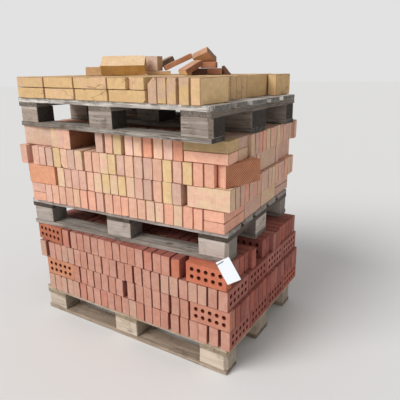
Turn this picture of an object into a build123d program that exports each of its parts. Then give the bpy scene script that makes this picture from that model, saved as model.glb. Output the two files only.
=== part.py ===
from build123d import *
import math
import os
import random

# Three loaded block pallets of bricks, stacked. Millimetres, +Z up.
# X runs along the long side that faces the front, Y runs to the back.
# The origin is the centre of the lowest pallet's underside.

# The pallet, one size for all three.
pallet_length = 1200
pallet_width = 800
wide_board = 145
narrow_board = 100
board_thickness = 22
block_height = 78
block_chamfer = 14
rounded_corner = 30
pallet_height = 3 * board_thickness + block_height

# The bricks. A red brick has holes through it, a mixed and a buff brick has none.
brick_length = 210
brick_thickness = 48
flat_thickness = 50
red_brick_width = 98
mixed_brick_width = 100
buff_brick_width = 104
buff_thickness = 52
thin_brick_length = 200
thin_brick_width = 76
thin_brick_thickness = 31

# The holes of a red brick, two rows of five through its bed face.
hole_diameter = 19
hole_sides = 8
hole_pitch = 36.5
hole_row_pitch = 36
holes_long = 5
holes_wide = 2

# Joints between bricks that are only set side by side.
joint = 1
side_joint = 3
wide_joint = 9
flat_joint = 4
row_gap = 2.6
rows = 4
courses = 4
mixed_inset = 24
mixed_step = 12
mixed_shift = 4
mixed_course_1_inset = 9
mixed_course_1_shift = 37
mixed_course_1_set_back = 28
mixed_header_set_backs = (14, 6, 0)
mixed_gap = 162
mixed_course_2_shift = 53
mixed_course_2_joint = 42
mixed_course_3_joint = 26
mixed_course_3_break = 19
splay_angle = 21
splay_set_back = 10
broken_left = 112
broken_right = 62
crumb_set_back = 16
chip_width = 30
chip_height = 26
chip_depth = 60
unevenness = 3.5

# The loose bricks on the top load, by their sizes. Two spots are counted from the first brick on
# edge and from the load's front; the steps from a spot run along the heap's heading and across it.
heap_heading = 34.4
tilted_spot = (-422, 314)
pile_spot = (-53, 514)
tilted_size = (222, 100, 56)
tilted_lean = 30
prop_thickness = 44
prop_clearance = 0.3
prop_step = -109
slab_size = (122, 76, 20)
slab_step = (172, 74)
slab_turn = 4
standing_size = (76, 56, 74)
standing_step = (146, 72)
standing_turn = -25
rear_size = (166, 76, 31)
rear_step = (163, 204)
rear_turn = 20
rear_rise = 25
back_size = (156, 76, 26)
back_step = (271, 89)
back_turn = 10
back_rise = 24
front_size = (104, 76, 28)
front_step = (-76, -88)
front_turn = 33
front_rise = 26
pile_left_step = (-50, 60)
pile_left_turn = 9
pile_right_step = (42.5, 60)
pile_upper_step = (18, 62)
pile_upper_turn = 5
roof_size = (90, 88, 34)
roof_step = (-7, 48)
roof_slope = 40
roof_turn = 34
roof_broken = 33
broken_outline = ((0, 0), (46, 0), (8, 44), (0, 40))
broken_length = 92
broken_step = 64

# How far each load stands past its pallet's edges, and below zero how far it stops short of them.
red_overhang = 14
red_left_overhang = -43
red_right_overhang = 24
red_course_1_shift = 69
red_course_1_inset = 19
red_course_1_joint = 21
red_course_1_open_joint = 11
red_yaw = 5.7
red_course_2_shift = 43
red_course_2_inset = 12
red_course_2_joint = 25
slot_width = 27
missing_gap = 92
red_set_back = 15
red_holed_set_back = 9
red_stands_out = 8
red_back_set_back = 3
mixed_overhang = 20
mixed_left_overhang = -28
mixed_right_overhang = 18
buff_overhang = 10
buff_back_overhang = 29
buff_left_overhang = -18
buff_right_overhang = -42
buff_step = 50

# How the upper pallets stand on the load below them.
middle_shift = (-45, 22)
middle_turn = 2.74
top_shift = (-23, -32)
top_turn = -2.59

# The card that hangs from the middle pallet's corner.
card_width = 75
card_height = 107
card_thickness = 0.8
card_turn = 33.5
card_right = 12
card_rise = 7
card_clearance = 0.3
card_corner = 3
eyelet_diameter = 5
eyelet_inset = 8
tie_radius = 1.2
tie_reach = 9
tie_drop = 12
tie_inset = 24

half_length = pallet_length / 2
half_width = pallet_width / 2
middle_height = pallet_height + courses * red_brick_width
top_height = middle_height + pallet_height + courses * mixed_brick_width


def block(x, y, z, dx, dy, dz):
    """A plain block by its lowest corner and its size."""
    return Pos(x + dx / 2, y + dy / 2, z + dz / 2) * Box(dx, dy, dz)


# Where each of the three pallets stands: its shift, its turn and its height.
bottom_tier = ((0, 0), 0, 0)
middle_tier = (middle_shift, middle_turn, middle_height)
top_tier = (top_shift, top_turn, top_height)


def tier_place(tier):
    shift, turn, height = tier
    return Pos(shift[0], shift[1], height) * Rot(0, 0, turn)


def placed(tier, solids):
    """Solids of a pallet's own frame at the pallet's place in the stack."""
    place = tier_place(tier)
    return [place * solid for solid in solids]


# The pallet: bottom boards, blocks, stringers and deck boards, in the pallet's own frame.
def board_starts(widths, span):
    """Where each board of a row begins, when the gaps between them are equal."""
    gap = (span - sum(widths)) / (len(widths) - 1)
    starts = []
    position = -span / 2
    for width in widths:
        starts.append(position)
        position += width + gap
    return starts


def pallet_bottom_boards():
    widths = [narrow_board, wide_board, narrow_board]
    starts = board_starts(widths, pallet_width)
    return [
        block(-half_length, y, 0, pallet_length, width, board_thickness)
        for y, width in zip(starts, widths)
    ]


def pallet_blocks():
    """Nine blocks. The outer upright edges of the four corner blocks are chamfered."""
    lengths = [wide_board] * 3
    widths = [narrow_board, wide_board, narrow_board]
    blocks = []
    for x, length in zip(board_starts(lengths, pallet_length), lengths):
        for y, width in zip(board_starts(widths, pallet_width), widths):
            solid = block(x, y, board_thickness, length, width, block_height)
            reach_x = abs(x + length / 2) + length / 2
            reach_y = abs(y + width / 2) + width / 2
            if reach_x > half_length - 1 and reach_y > half_width - 1:
                upright = solid.edges().filter_by(Axis.Z)
                corner = upright.sort_by(lambda edge: edge.center().X ** 2 + edge.center().Y ** 2)[-1]
                solid = chamfer(corner, block_chamfer)
            blocks.append(solid)
    return blocks


def pallet_stringers():
    lengths = [wide_board] * 3
    starts = board_starts(lengths, pallet_length)
    base = board_thickness + block_height
    return [
        block(x, -half_width, base, length, pallet_width, board_thickness)
        for x, length in zip(starts, lengths)
    ]


def pallet_deck_boards(worn_corner=False):
    """Five boards. A worn pallet has its front right deck corner rounded off."""
    widths = [wide_board, narrow_board, wide_board, narrow_board, wide_board]
    starts = board_starts(widths, pallet_width)
    base = 2 * board_thickness + block_height
    boards = [
        block(-half_length, y, base, pallet_length, width, board_thickness)
        for y, width in zip(starts, widths)
    ]
    if worn_corner:
        upright = boards[0].edges().filter_by(Axis.Z)
        corner = upright.sort_by(lambda edge: edge.center().X - edge.center().Y)[-1]
        boards[0] = fillet(corner, rounded_corner)
    return boards


# The bricks, in the frame of the pallet that carries them. Each stance says how a brick lies:
#   header  on edge, its end to the front
#   turned  on edge, its bed face to the front
#   flat    on its bed, its long side to the front
#   cross   on its bed, its end to the front
def brick_size(stance, width):
    sizes = {
        "header": (brick_thickness, brick_length, width),
        "turned": (brick_length, brick_thickness, width),
        "flat": (brick_length, width, flat_thickness),
        "cross": (width, brick_length, flat_thickness),
    }
    return sizes[stance]


def brick(stance, x, y, z, width):
    return block(x, y, z, *brick_size(stance, width))


def holed_brick(stance, x, y, z, width):
    """A red brick on edge with its two rows of five holes through the bed face."""
    size = brick_size(stance, width)
    outline = RegularPolygon(hole_diameter / 2, hole_sides)
    pattern = GridLocations(hole_pitch, hole_row_pitch, holes_long, holes_wide)
    section = Sketch() + [place * outline for place in pattern]
    holes = extrude(section, brick_thickness)
    if stance == "turned":
        holes = Pos(size[0] / 2, size[1], size[2] / 2) * Rot(90, 0, 0) * holes
    else:
        holes = Pos(0, size[1] / 2, size[2] / 2) * Rot(90, 0, 90) * holes
    body = block(0, 0, 0, *size) - holes
    return Pos(x, y, z) * body


def fill(start, end, size, gap=joint):
    """Starts of as many pieces of one size as fit between two places, spread to reach both."""
    count = int((end - start + gap) // (size + gap))
    if count < 1:
        return []
    if count == 1:
        return [start]
    pitch = (end - start - size) / (count - 1)
    return [start + number * pitch for number in range(count)]


def grouped(start, end, groups):
    """Stretches of a row: groups of a few bricks, each with its open joint after it, then the rest."""
    stretches = []
    place = start
    for count, open_joint in groups:
        stop = place + count * brick_thickness + (count - 1) * joint
        if stop > end:
            break
        stretches.append((place, stop))
        place = stop + open_joint
    if end - place >= brick_thickness:
        stretches.append((place, end))
    return stretches


def row_front(row, front):
    """The front face of one of the rows that a course is deep."""
    return front + row * (brick_length + row_gap)


def pushed(draw, row):
    """How far a brick of an outer row stands out of line."""
    if row == 0:
        return -draw.uniform(0, unevenness)
    if row == rows - 1:
        return draw.uniform(0, unevenness)
    return 0


def headers(stretches, row, front, z, width, draw):
    """One row of bricks on edge that fills the given stretches of X."""
    placed = []
    for start, end in stretches:
        for x in fill(start, end, brick_thickness):
            placed.append(brick("header", x, row_front(row, front) + pushed(draw, row), z, width))
    return placed


def column(x, stretches, z, width, draw, side):
    """Turned bricks one behind the other, which fill the given stretches of Y."""
    placed = []
    for start, end in stretches:
        for y in fill(start, end, brick_thickness):
            placed.append(brick("turned", x + side * draw.uniform(0, unevenness), y, z, width))
    return placed


def core(x_start, x_end, y_start, y_end, z, width):
    """The hidden middle of a course as one block."""
    return block(x_start, y_start, z, x_end - x_start, y_end - y_start, width)


# The load of red bricks on the lowest pallet. Course 1 is the top one.
red_left = -half_length - red_left_overhang
red_right = half_length + red_right_overhang
red_front = -half_width - red_overhang
red_back = red_front + rows * brick_length + (rows - 1) * row_gap


def red_base(course):
    return pallet_height + (courses - course) * red_brick_width


def red_header_course(course, left, right, first_joint, groups, draw):
    """All bricks run front to back, so the two ends show bed faces with holes."""
    z = red_base(course)
    plain = []
    holed = []
    inner_left = left + brick_thickness + first_joint
    inner_right = right - brick_thickness - joint
    for row in range(rows):
        y = row_front(row, red_front) + pushed(draw, row)
        holed.append(holed_brick("header", left, y, z, red_brick_width))
        holed.append(holed_brick("header", right - brick_thickness, y, z, red_brick_width))
        if row in (0, rows - 1):
            stretches = grouped(inner_left, inner_right, groups)
            plain += headers(stretches, row, red_front, z, red_brick_width, draw)
    middle = core(
        inner_left, inner_right, row_front(1, red_front),
        row_front(rows - 1, red_front) - row_gap, z, red_brick_width,
    )
    return plain, holed, middle


def red_turned_ends(left, right, z, draw):
    """The end columns of a course that is turned there, with holes at the front and the back."""
    plain = []
    holed = []
    last = red_back - brick_thickness
    inner = [(red_front + brick_thickness + joint, last - joint)]
    for x, side in ((left, -1), (right - brick_length, 1)):
        holed.append(holed_brick("turned", x, red_front, z, red_brick_width))
        holed.append(holed_brick("turned", x, last, z, red_brick_width))
        plain += column(x, inner, z, red_brick_width, draw, side)
    return plain, holed


def red_course_4(draw):
    groups = [(4, 6), (2, 6), (4, 3), (3, 3), (3, 15), (1, 5), (1, 4), (2, 9)]
    return red_header_course(4, red_left, red_right, joint, groups, draw)


def red_course_2(draw):
    """The first brick stands out to the left, with an open joint after it."""
    groups = [(4, 3), (2, 6), (2, 6), (2, 6), (2, 13), (1, 5), (1, 5), (1, 7), (1, 3), (1, 6)]
    groups += [(1, 2), (1, 3), (1, 6)]
    left = red_left - red_course_2_shift
    right = red_right - red_course_2_inset
    return red_header_course(2, left, right, red_course_2_joint, groups, draw)


def red_course_3(draw):
    """Turned at both ends, with one open slot in the front face."""
    z = red_base(3)
    plain, holed = red_turned_ends(red_left, red_right, z, draw)
    start = red_left + brick_length + joint
    end = red_right - brick_length - joint
    groups = [(1, 5), (2, 6), (2, 5), (2, slot_width), (1, 8), (1, 4), (1, 4), (1, 4), (1, 12), (1, 4)]
    plain += headers(grouped(start, end, groups), 0, red_front, z, red_brick_width, draw)
    plain += headers([(start, end)], rows - 1, red_front, z, red_brick_width, draw)
    middle = core(
        start, end, row_front(1, red_front),
        row_front(rows - 1, red_front) - row_gap, z, red_brick_width,
    )
    return plain, holed, middle


def red_course_1(draw):
    """The top course: whole to its middle, with a gap and uneven steps along its right side."""
    z = red_base(1)
    left = red_left - red_course_1_shift
    right = red_right - red_course_1_inset
    width = red_brick_width
    last = red_back - brick_thickness
    # The front left brick stands askew, its outer end further back.
    askew = holed_brick("turned", -brick_length, 0, 0, width)
    outer_back = brick_length * math.sin(math.radians(red_yaw)) + brick_thickness
    holed = [
        Pos(left + brick_length, red_front, z) * Rot(0, 0, -red_yaw) * askew,
        holed_brick("turned", left, last, z, width),
        holed_brick("turned", right - brick_length, red_front, z, width),
    ]
    inner = [(red_front + outer_back + joint, last - joint)]
    plain = column(left, inner, z, width, draw, -1)
    start = left + brick_length + red_course_1_open_joint
    end = right - brick_length - red_course_1_joint
    groups = [(1, 12), (3, 7), (5, 1), (1, 2), (1, 6), (1, 6), (2, 8)]
    plain += headers(grouped(start, end, groups), 0, red_front, z, width, draw)
    for row in range(1, rows):
        plain += headers([(start, end)], row, red_front, z, width, draw)
    # The right side, from the front: four bricks set back, one nearly in line, the gap, and behind
    # it a holed brick and the rest in steps of their own.
    column_x = right - brick_length
    y = red_front + brick_thickness + joint
    for set_back in 4 * [red_set_back] + [0]:
        plain.append(brick("turned", column_x - set_back, y, z, width))
        y += brick_thickness + side_joint
    for number, y in enumerate(fill(y - side_joint + missing_gap, red_back, brick_thickness)):
        if number == 0:
            holed.append(holed_brick("turned", column_x - red_holed_set_back, y, z, width))
        elif number < 2:
            plain.append(brick("turned", column_x - red_holed_set_back, y, z, width))
        elif number < 4:
            plain.append(brick("turned", column_x + red_stands_out, y, z, width))
        else:
            plain.append(brick("turned", column_x - red_back_set_back, y, z, width))
    return plain, holed


# The load of mixed bricks on the middle pallet.
mixed_left = -half_length - mixed_left_overhang
mixed_right = half_length + mixed_right_overhang
mixed_front = -half_width - mixed_overhang
mixed_back = mixed_front + rows * brick_length + (rows - 1) * row_gap


def mixed_base(course):
    return pallet_height + (courses - course) * mixed_brick_width


def mixed_course_4(draw):
    """Flat pairs at the four corners, bricks on edge between them."""
    z = mixed_base(4)
    left = mixed_left + mixed_shift
    right = mixed_right - mixed_inset
    width = mixed_brick_width
    bricks = []
    upper = []
    for row in (0, rows - 1):
        y = row_front(row, mixed_front)
        for x in (left, right - width):
            bricks.append(brick("cross", x, y, z, width))
            upper.append(brick("cross", x, y, z + flat_thickness, width))
        start = left + width + joint
        end = right - width - joint
        groups = [(3, 5), (3, 5), (1, 4), (1, 9), (5, 3), (2, 3), (2, 3), (1, 4)]
        bricks += headers(grouped(start, end, groups), row, mixed_front, z, width, draw)
    for row in range(1, rows - 1):
        y = row_front(row, mixed_front)
        bricks.append(brick("header", left, y, z, width))
        bricks.append(brick("header", right - brick_thickness, y, z, width))
    middle = core(
        left + brick_thickness + joint, right - brick_thickness - joint,
        row_front(1, mixed_front), row_front(rows - 1, mixed_front) - row_gap, z, width,
    )
    return bricks, upper, middle


def mixed_course_3(draw):
    """Turned at both ends. The front left brick is broken short, and an open joint comes before
    the front right one."""
    z = mixed_base(3)
    width = mixed_brick_width
    left = mixed_left - mixed_shift
    right = mixed_right + mixed_shift / 2
    start = left + brick_length + joint
    end = right - brick_length - mixed_course_3_joint
    short = brick_length - mixed_course_3_break
    behind = mixed_front + brick_thickness + joint
    bricks = [block(left, mixed_front, z, short, brick_thickness, width)]
    bricks += column(left, [(behind, mixed_back)], z, width, draw, -1)
    bricks += column(right - brick_length, [(mixed_front, mixed_back)], z, width, draw, 1)
    groups = [(1, 2), (1, 3), (1, 2), (3, 2), (2, 2), (3, 2), (1, 6), (1, 4)]
    bricks += headers(grouped(start, end, groups), 0, mixed_front, z, width, draw)
    bricks += headers([(start, end)], rows - 1, mixed_front, z, width, draw)
    middle = core(
        start, end, row_front(1, mixed_front),
        row_front(rows - 1, mixed_front) - row_gap, z, width,
    )
    return bricks, [], middle


def mixed_course_2(draw):
    """One brick stands out at the left, and the front right brick is splayed to the right."""
    z = mixed_base(2)
    width = mixed_brick_width
    left = mixed_left - mixed_course_2_shift
    right = mixed_right - mixed_inset
    start = left + brick_thickness + mixed_course_2_joint
    bricks = []
    groups = [(3, 8), (3, 4), (1, 15), (4, 3)] + 9 * [(1, 4)]
    splayed_left = right - brick_thickness * math.cos(math.radians(splay_angle))
    front = grouped(start, splayed_left - joint, groups)
    for row, stretches in ((0, front), (rows - 1, [(start, right)])):
        bricks.append(brick("header", left, row_front(row, mixed_front), z, width))
        bricks += headers(stretches, row, mixed_front, z, width, draw)
    splayed = brick("header", -brick_thickness, 0, 0, width)
    bricks.append(Pos(right, mixed_front + splay_set_back, z) * Rot(0, 0, -splay_angle) * splayed)
    # The right side behind the splayed brick: turned bricks, one bed face, turned bricks again.
    x = right + mixed_step - brick_length
    y = row_front(1, mixed_front) + wide_joint
    for number in range(3):
        bricks.append(brick("turned", x, y, z, width))
        y += brick_thickness + joint
    bricks.append(brick("header", right + mixed_step - brick_thickness, y, z, width))
    filler = y
    y += brick_length + joint
    end = row_front(rows - 1, mixed_front) - row_gap
    bricks += column(x, [(y, end)], z, width, draw, 1)
    bricks += column(start, [(row_front(1, mixed_front), end)], z, width, draw, -1)
    for place in fill(x, right + mixed_step - brick_thickness - joint, brick_thickness):
        bricks.append(brick("header", place, filler, z, width))
    middle = core(
        start + brick_length + joint, x - joint, row_front(1, mixed_front), end, z, width,
    )
    return bricks, [], middle


def mixed_course_1(draw):
    """The top course, with three bricks missing at the front and flat pairs at the right."""
    z = mixed_base(1)
    width = mixed_brick_width
    left = mixed_left - mixed_course_1_shift
    start = left + brick_length + joint
    flats = mixed_right - mixed_course_1_inset - brick_length
    column_front = mixed_front + mixed_course_1_set_back
    bricks = column(left, [(column_front, mixed_back)], z, width, draw, -1)
    # Three bricks before the gap, the first two broken a little short at the front.
    x = start
    for set_back in mixed_header_set_backs:
        length = brick_length - set_back
        bricks.append(block(x, mixed_front + set_back, z, brick_thickness, length, width))
        x += brick_thickness + joint
    groups = [(1, 11), (1, 2), (1, 18), (2, 6), (1, 8), (1, 5), (1, 3)]
    front = grouped(x - joint + mixed_gap, flats - joint, groups)
    bricks += headers(front, 0, mixed_front, z, width, draw)
    for row in range(1, rows):
        bricks += headers([(start, flats - joint)], row, mixed_front, z, width, draw)
    upper = []
    y = mixed_front
    for number in range(2):
        bricks.append(brick("flat", flats, y, z, width))
        upper.append(brick("flat", flats, y, z + flat_thickness, width))
        y += width + joint
    last = mixed_back - brick_thickness
    bricks += column(flats + wide_joint, [(y + wide_joint, last - joint)], z, width, draw, 1)
    bricks.append(brick("turned", flats + mixed_inset, last, z, width))
    return bricks, upper


# The load of buff bricks on the top pallet, one course high. The flat bricks fill its left part,
# as many along as leave room for the bricks on edge.
buff_left = -half_length - buff_left_overhang
buff_right = half_length + buff_right_overhang
buff_front = -half_width - buff_overhang
buff_back = half_width + buff_back_overhang
flat_pitch = brick_length + wide_joint
flat_room = buff_right - buff_step - brick_length - flat_joint - buff_left
flat_places = int((flat_room + joint) // flat_pitch)
buff_edge_left = buff_left + flat_places * flat_pitch + flat_joint


def buff_flat_bricks():
    """Flat bricks two high over the left part. One of the upper front row is broken in two."""
    width = buff_brick_width
    z = pallet_height
    upper_z = z + buff_thickness
    full = (brick_length, width, buff_thickness)
    lower = []
    upper = []
    upper_pitch = flat_pitch - 2 * joint
    for number, y in enumerate(fill(buff_front, buff_back, width)):
        for place in range(flat_places):
            lower.append(block(buff_left + place * flat_pitch, y, z, *full))
            if number > 0 or place < flat_places - 1:
                upper.append(block(buff_left + place * upper_pitch, y, upper_z, *full))
    # The broken brick: two ends that stay in line, and a crumb between them that is set back.
    x = buff_left + (flat_places - 1) * upper_pitch
    second = x + brick_length - broken_right
    gap = second - x - broken_left
    upper.append(block(x, buff_front, upper_z, broken_left, width, buff_thickness))
    upper.append(block(second, buff_front, upper_z, broken_right, width, buff_thickness))
    upper.append(
        block(
            x + broken_left + joint, buff_front + crumb_set_back, upper_z,
            gap - 2 * joint, width - crumb_set_back, buff_thickness,
        )
    )
    return lower, upper


def buff_edge_bricks():
    """Bricks on edge over the right part, in three steps along the right side."""
    width = buff_brick_width
    z = pallet_height
    bricks = []
    front = [(3, 12), (1, 6)]
    for x_start, x_end in grouped(buff_edge_left, buff_right, front):
        for x in fill(x_start, x_end, brick_thickness):
            bricks.append(brick("header", x, buff_front, z, width))
    # The first one has lost its upper left front corner.
    chip = extrude(
        Plane.XZ * make_face(Polyline((0, 0), (chip_width, 0), (0, -chip_height), close=True)),
        -chip_depth,
    )
    bricks[0] -= Pos(buff_edge_left, buff_front, z + width) * chip
    # The second step stands further in: five turned bricks, then a row of headers.
    second_right = buff_right - buff_step
    y = buff_front + brick_length + row_gap
    for number in range(5):
        bricks.append(brick("turned", second_right - brick_length, y, z, width))
        y += brick_thickness + joint
    for x in fill(buff_edge_left, second_right, brick_thickness):
        bricks.append(brick("header", x, y, z, width))
    y += brick_length + row_gap
    # The third step is a row of shorter bats, back in line with the front.
    for x in fill(buff_edge_left, buff_right, brick_thickness):
        bricks.append(block(x, y, z, brick_thickness, buff_back - y, width))
    return bricks


# The loose bricks that lie on the top course, each by its centre and the way it points.
heap_base = pallet_height + buff_brick_width


def loose(size, x, y, heading, lean=0, rise=0, spin=0, height=0):
    """A loose brick leaned about its length, raised at one end and turned to its heading.

    It is let down until its lowest corner is at the given height over the top course.
    """
    turn = Rot(0, 0, heading) * Rot(lean, 0, 0) * Rot(0, spin - rise, 0)
    solid = turn * Box(*size)
    lowest = min(vertex.Z for vertex in solid.vertices())
    return Pos(x, y, heap_base + height - lowest) * solid


def roof_bat(place):
    """A broken bat that stands aslant on the pile, broken flat where it lies on it."""
    pile_top = heap_base + 2 * thin_brick_thickness
    whole = Rot(0, 0, heap_heading) * Rot(-roof_slope, 0, 0) * Rot(0, 0, -roof_turn) * Box(*roof_size)
    lowest = whole.bounding_box().min.Z
    whole = Pos(place[0], place[1], pile_top - roof_broken - lowest) * whole
    reach = 2 * roof_size[0]
    return whole - block(place[0] - reach, place[1] - reach, pile_top - reach, 2 * reach, 2 * reach, reach)


def heap():
    """The loose bricks by name, a pile at the right, leaned ones and a full one at the left."""
    thin = (thin_brick_length, thin_brick_width, thin_brick_thickness)
    along = Vector(math.cos(math.radians(heap_heading)), math.sin(math.radians(heap_heading)))
    across = Vector(-along.Y, along.X)

    def at(centre, right, back):
        place = centre + along * right + across * back
        return place.X, place.Y

    # The leaned brick lies on the front upper edge of the lower one behind it.
    lean = math.radians(tilted_lean)
    front_edge = (tilted_size[2] * math.sin(lean) - tilted_size[1] * math.cos(lean)) / 2
    prop_front = front_edge + prop_thickness / math.tan(lean) + prop_clearance
    prop_size = (thin_brick_length, thin_brick_width, prop_thickness)
    tilted = Vector(buff_edge_left + tilted_spot[0], buff_front + tilted_spot[1])
    pile = Vector(buff_edge_left + pile_spot[0], buff_front + pile_spot[1])
    outwards = heap_heading + 90
    pieces = {
        "loose_tilted_brick": loose(tilted_size, tilted.X, tilted.Y, heap_heading, lean=tilted_lean),
        "loose_prop_brick": loose(
            prop_size, *at(tilted, prop_step, prop_front + thin_brick_width / 2), heap_heading
        ),
        "loose_bat": loose(slab_size, *at(tilted, *slab_step), heap_heading + slab_turn),
        "loose_edge_brick": loose(
            standing_size, *at(tilted, *standing_step), heap_heading + standing_turn,
            height=slab_size[2],
        ),
        "leaning_rear_brick": loose(
            rear_size, *at(tilted, *rear_step), heap_heading + rear_turn, rise=rear_rise
        ),
        "leaning_back_brick": loose(
            back_size, *at(tilted, *back_step), heap_heading + back_turn, rise=back_rise,
            height=slab_size[2],
        ),
        "leaning_front_brick": loose(
            front_size, *at(pile, *front_step), heap_heading + front_turn, rise=front_rise
        ),
        "pile_left_brick": loose(thin, *at(pile, *pile_left_step), outwards + pile_left_turn),
        "pile_right_brick": loose(thin, *at(pile, *pile_right_step), outwards),
        "pile_upper_brick": loose(
            thin, *at(pile, *pile_upper_step), outwards - pile_upper_turn,
            height=thin_brick_thickness,
        ),
        "pile_top_bat": roof_bat(at(pile, *roof_step)),
    }
    broken = extrude(make_face(Polyline(*broken_outline, close=True)), broken_length)
    beside = pile_right_step[0] + thin_brick_width / 2 + joint
    pieces["pile_broken_brick"] = (
        Pos(*at(pile, beside, broken_step), heap_base) * Rot(0, 0, heap_heading)
        * Rot(90, 0, 0) * broken
    )
    return pieces


# The blank card on its tie, in front of the middle pallet's right corner. The tie runs from
# the eyelet, over the card's edge, back to the pallet's bottom board.
card_place = Pos(
    half_length + card_right, red_front - card_clearance - card_thickness / 2,
    middle_height + card_rise,
) * Rot(0, -card_turn, 0)


def card():
    plate = Box(card_width, card_thickness, card_height)
    plate = fillet(plate.edges().filter_by(Axis.Y), card_corner)
    eyelet = Pos(0, 0, card_height / 2 - eyelet_inset) * Rot(90, 0, 0)
    plate -= eyelet * Cylinder(eyelet_diameter / 2, 2 * card_thickness)
    return card_place * plate


def card_tie():
    in_front = -card_thickness / 2 - card_clearance - tie_radius
    start = (card_place * Pos(0, in_front, card_height / 2 - eyelet_inset)).position
    beside = Pos(-card_width / 2 - tie_reach, in_front, card_height / 2 - tie_drop)
    turn = (card_place * beside).position
    board = Pos(half_length - tie_inset, -half_width - card_clearance, board_thickness / 2)
    end = (tier_place(middle_tier) * board).position
    path = FilletPolyline(start, turn, end, radius=5 * tie_radius)
    section = Plane(origin=start, z_dir=path % 0) * Circle(tie_radius)
    return sweep(section, path)


def all_nodes():
    nodes = {}
    for name, tier in (("bottom", bottom_tier), ("middle", middle_tier), ("top", top_tier)):
        nodes[name + "_pallet_bottom_boards"] = placed(tier, pallet_bottom_boards())
        nodes[name + "_pallet_blocks"] = placed(tier, pallet_blocks())
        nodes[name + "_pallet_stringers"] = placed(tier, pallet_stringers())
        nodes[name + "_pallet_deck_boards"] = placed(tier, pallet_deck_boards(name == "top"))

    draw = random.Random(7)
    for course, build in ((4, red_course_4), (3, red_course_3), (2, red_course_2)):
        plain, holed, middle = build(draw)
        nodes[f"red_course_{course}_bricks"] = plain
        nodes[f"red_course_{course}_holed_bricks"] = holed
        nodes[f"red_course_{course}_core"] = [middle]
    plain, holed = red_course_1(draw)
    nodes["red_course_1_bricks"] = plain
    nodes["red_course_1_holed_bricks"] = holed

    for course, build in ((4, mixed_course_4), (3, mixed_course_3), (2, mixed_course_2)):
        bricks, upper, middle = build(draw)
        nodes[f"mixed_course_{course}_bricks"] = placed(middle_tier, bricks)
        if upper:
            nodes[f"mixed_course_{course}_upper_bricks"] = placed(middle_tier, upper)
        nodes[f"mixed_course_{course}_core"] = placed(middle_tier, [middle])
    bricks, upper = mixed_course_1(draw)
    nodes["mixed_course_1_bricks"] = placed(middle_tier, bricks)
    nodes["mixed_course_1_upper_bricks"] = placed(middle_tier, upper)

    lower, upper = buff_flat_bricks()
    nodes["buff_lower_flat_bricks"] = placed(top_tier, lower)
    nodes["buff_upper_flat_bricks"] = placed(top_tier, upper)
    nodes["buff_edge_bricks"] = placed(top_tier, buff_edge_bricks())
    for name, solid in heap().items():
        nodes[name] = placed(top_tier, [solid])
    nodes["label_card"] = [card()]
    nodes["label_tie"] = [card_tie()]
    return nodes


os.makedirs("parts", exist_ok=True)
for name, solids in all_nodes().items():
    shape = solids[0] if len(solids) == 1 else Compound(children=solids)
    export_step(shape, f"parts/{name}.step")
    print(name, len(solids))
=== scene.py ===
# %% [markdown]
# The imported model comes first, because every piece is built round it. Its nodes give the true
# size and place of each brick and board, so nothing in this lesson has to be fitted by eye.
# %% Load the frame
import math
import random

import bmesh
import bpy
from mathutils import Matrix, Vector


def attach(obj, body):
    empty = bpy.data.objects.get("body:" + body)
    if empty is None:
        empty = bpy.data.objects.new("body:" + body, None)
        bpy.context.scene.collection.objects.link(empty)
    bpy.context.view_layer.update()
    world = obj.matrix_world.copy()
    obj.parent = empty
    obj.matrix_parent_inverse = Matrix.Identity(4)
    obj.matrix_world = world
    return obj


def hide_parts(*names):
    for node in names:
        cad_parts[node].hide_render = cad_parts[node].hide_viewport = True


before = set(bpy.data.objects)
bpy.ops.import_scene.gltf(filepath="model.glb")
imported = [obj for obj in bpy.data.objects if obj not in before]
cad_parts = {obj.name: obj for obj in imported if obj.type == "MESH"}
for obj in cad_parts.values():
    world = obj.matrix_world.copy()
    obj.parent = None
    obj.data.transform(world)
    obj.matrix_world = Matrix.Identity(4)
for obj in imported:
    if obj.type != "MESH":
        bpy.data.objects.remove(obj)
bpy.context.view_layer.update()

print("nodes", len(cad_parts))

# %% [markdown]
# The camera stands to the right of the stack and looks a little down on it. A camera can be aimed
# with a constraint, but an exact view is plainer as three axes: right, up and away from the view.
# %% Camera
CAMERA_PLACE = Vector((1.37815, -1.86914, 1.36217))
CAMERA_HEADING = math.radians(31.80)
CAMERA_PITCH = math.radians(17.12)
CAMERA_ROLL = math.radians(-0.655)
CAMERA_LENS = 38.684


def camera_axes(heading, pitch, roll):
    """The camera's right, up and backward directions."""
    level = Vector((math.cos(heading), math.sin(heading), 0))
    view = Vector((
        -math.sin(heading) * math.cos(pitch), math.cos(heading) * math.cos(pitch), -math.sin(pitch)
    ))
    upright = level.cross(view)
    right = math.cos(roll) * level + math.sin(roll) * upright
    up = -math.sin(roll) * level + math.cos(roll) * upright
    return right, up, -view


camera = bpy.data.objects.new("camera", bpy.data.cameras.new("camera"))
camera.data.lens = CAMERA_LENS
camera.matrix_world = Matrix.Translation(CAMERA_PLACE) @ Matrix(
    camera_axes(CAMERA_HEADING, CAMERA_PITCH, CAMERA_ROLL)
).transposed().to_4x4()
bpy.context.scene.collection.objects.link(camera)
bpy.context.scene.camera = camera
print("camera at", [round(value, 3) for value in CAMERA_PLACE])

# %% [markdown]
# The stack stands outdoors under a bright grey sky. A plain world gives the sky's even light, and
# one wide soft lamp from the front left gives the long side its full colour and leaves the right
# side in shade. The view transform is Standard, so a colour shows about as it is written.
# %% Light
SKY_STRENGTH = 0.43
LAMP_STRENGTH = 2.3
LAMP_HEADING = math.radians(-25)
LAMP_HEIGHT = math.radians(40)
LAMP_WIDTH = math.radians(35)
BACKGROUND_GREY = 0.76

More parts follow.
